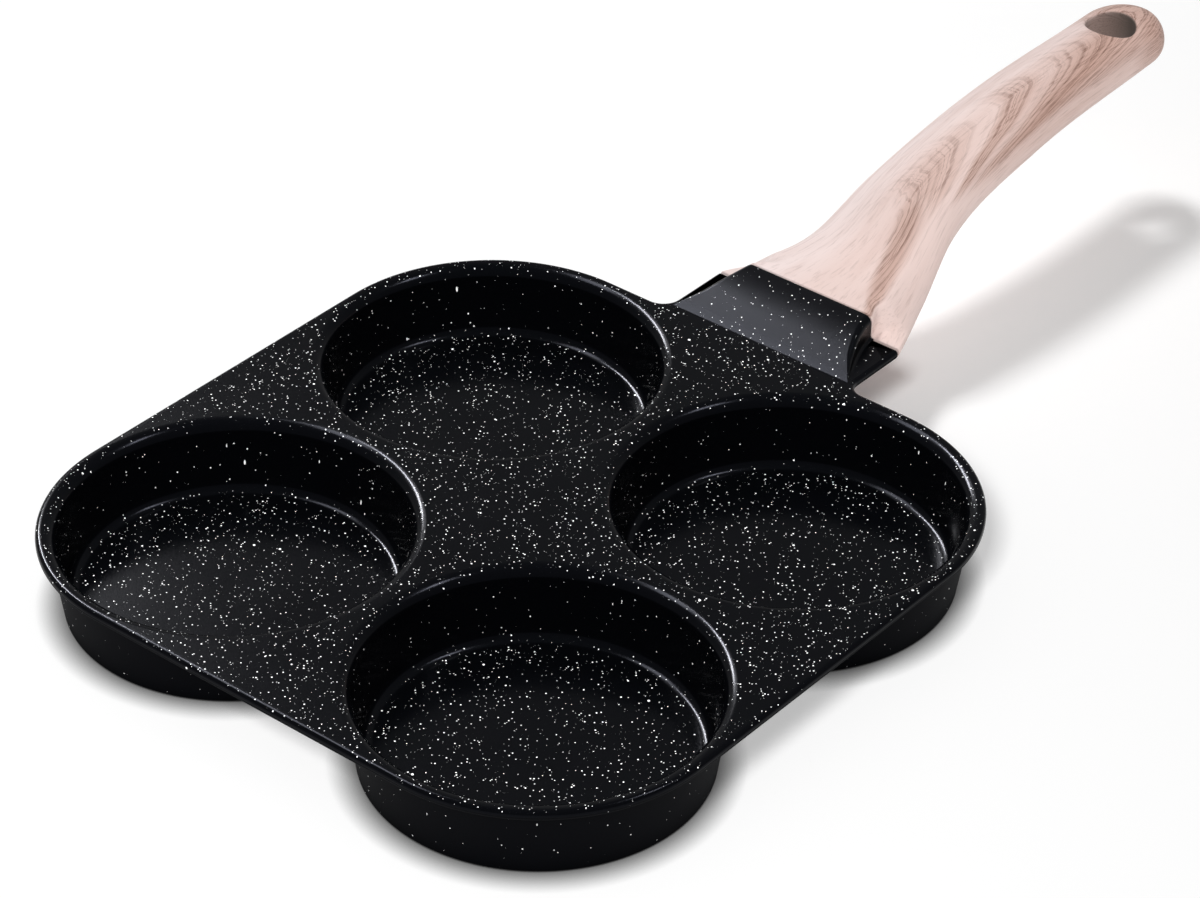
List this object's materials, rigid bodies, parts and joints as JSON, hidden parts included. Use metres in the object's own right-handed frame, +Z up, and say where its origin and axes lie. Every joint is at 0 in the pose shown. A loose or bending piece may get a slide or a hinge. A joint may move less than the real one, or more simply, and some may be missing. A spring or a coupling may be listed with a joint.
{
  "type": "four-cup egg pan",
  "caption": "Square frying pan with round cups sunk in a flat deck, speckled non-stick coating, and a flared wood-look handle with a hang hole, screwed on from below.",
  "frame": {"origin": "middle of the bounding box at the level of the cups' feet", "axes": "+X along the handle, away from the cups; +Z up, out of the cups' mouths"},
  "size_m": [0.3756, 0.1944, 0.051],
  "materials": {
    "speckled_coating": "cast aluminium under a satin near-black non-stick coating with white specks",
    "wood_print": "phenolic moulding with a satin pale wood-look print",
    "disc_steel": "ground magnetic stainless steel",
    "fastener_steel": "bright zinc-plated steel"
  },
  "bodies": {
    "root": {"pan_body": "speckled_coating", "base_disc_1": "disc_steel", "base_disc_2": "disc_steel", "base_disc_3": "disc_steel", "base_disc_4": "disc_steel", "handle": "wood_print", "handle_screw": "fastener_steel", "lock_washer": "fastener_steel", "flat_washer": "fastener_steel"}
  },
  "joints": []
}
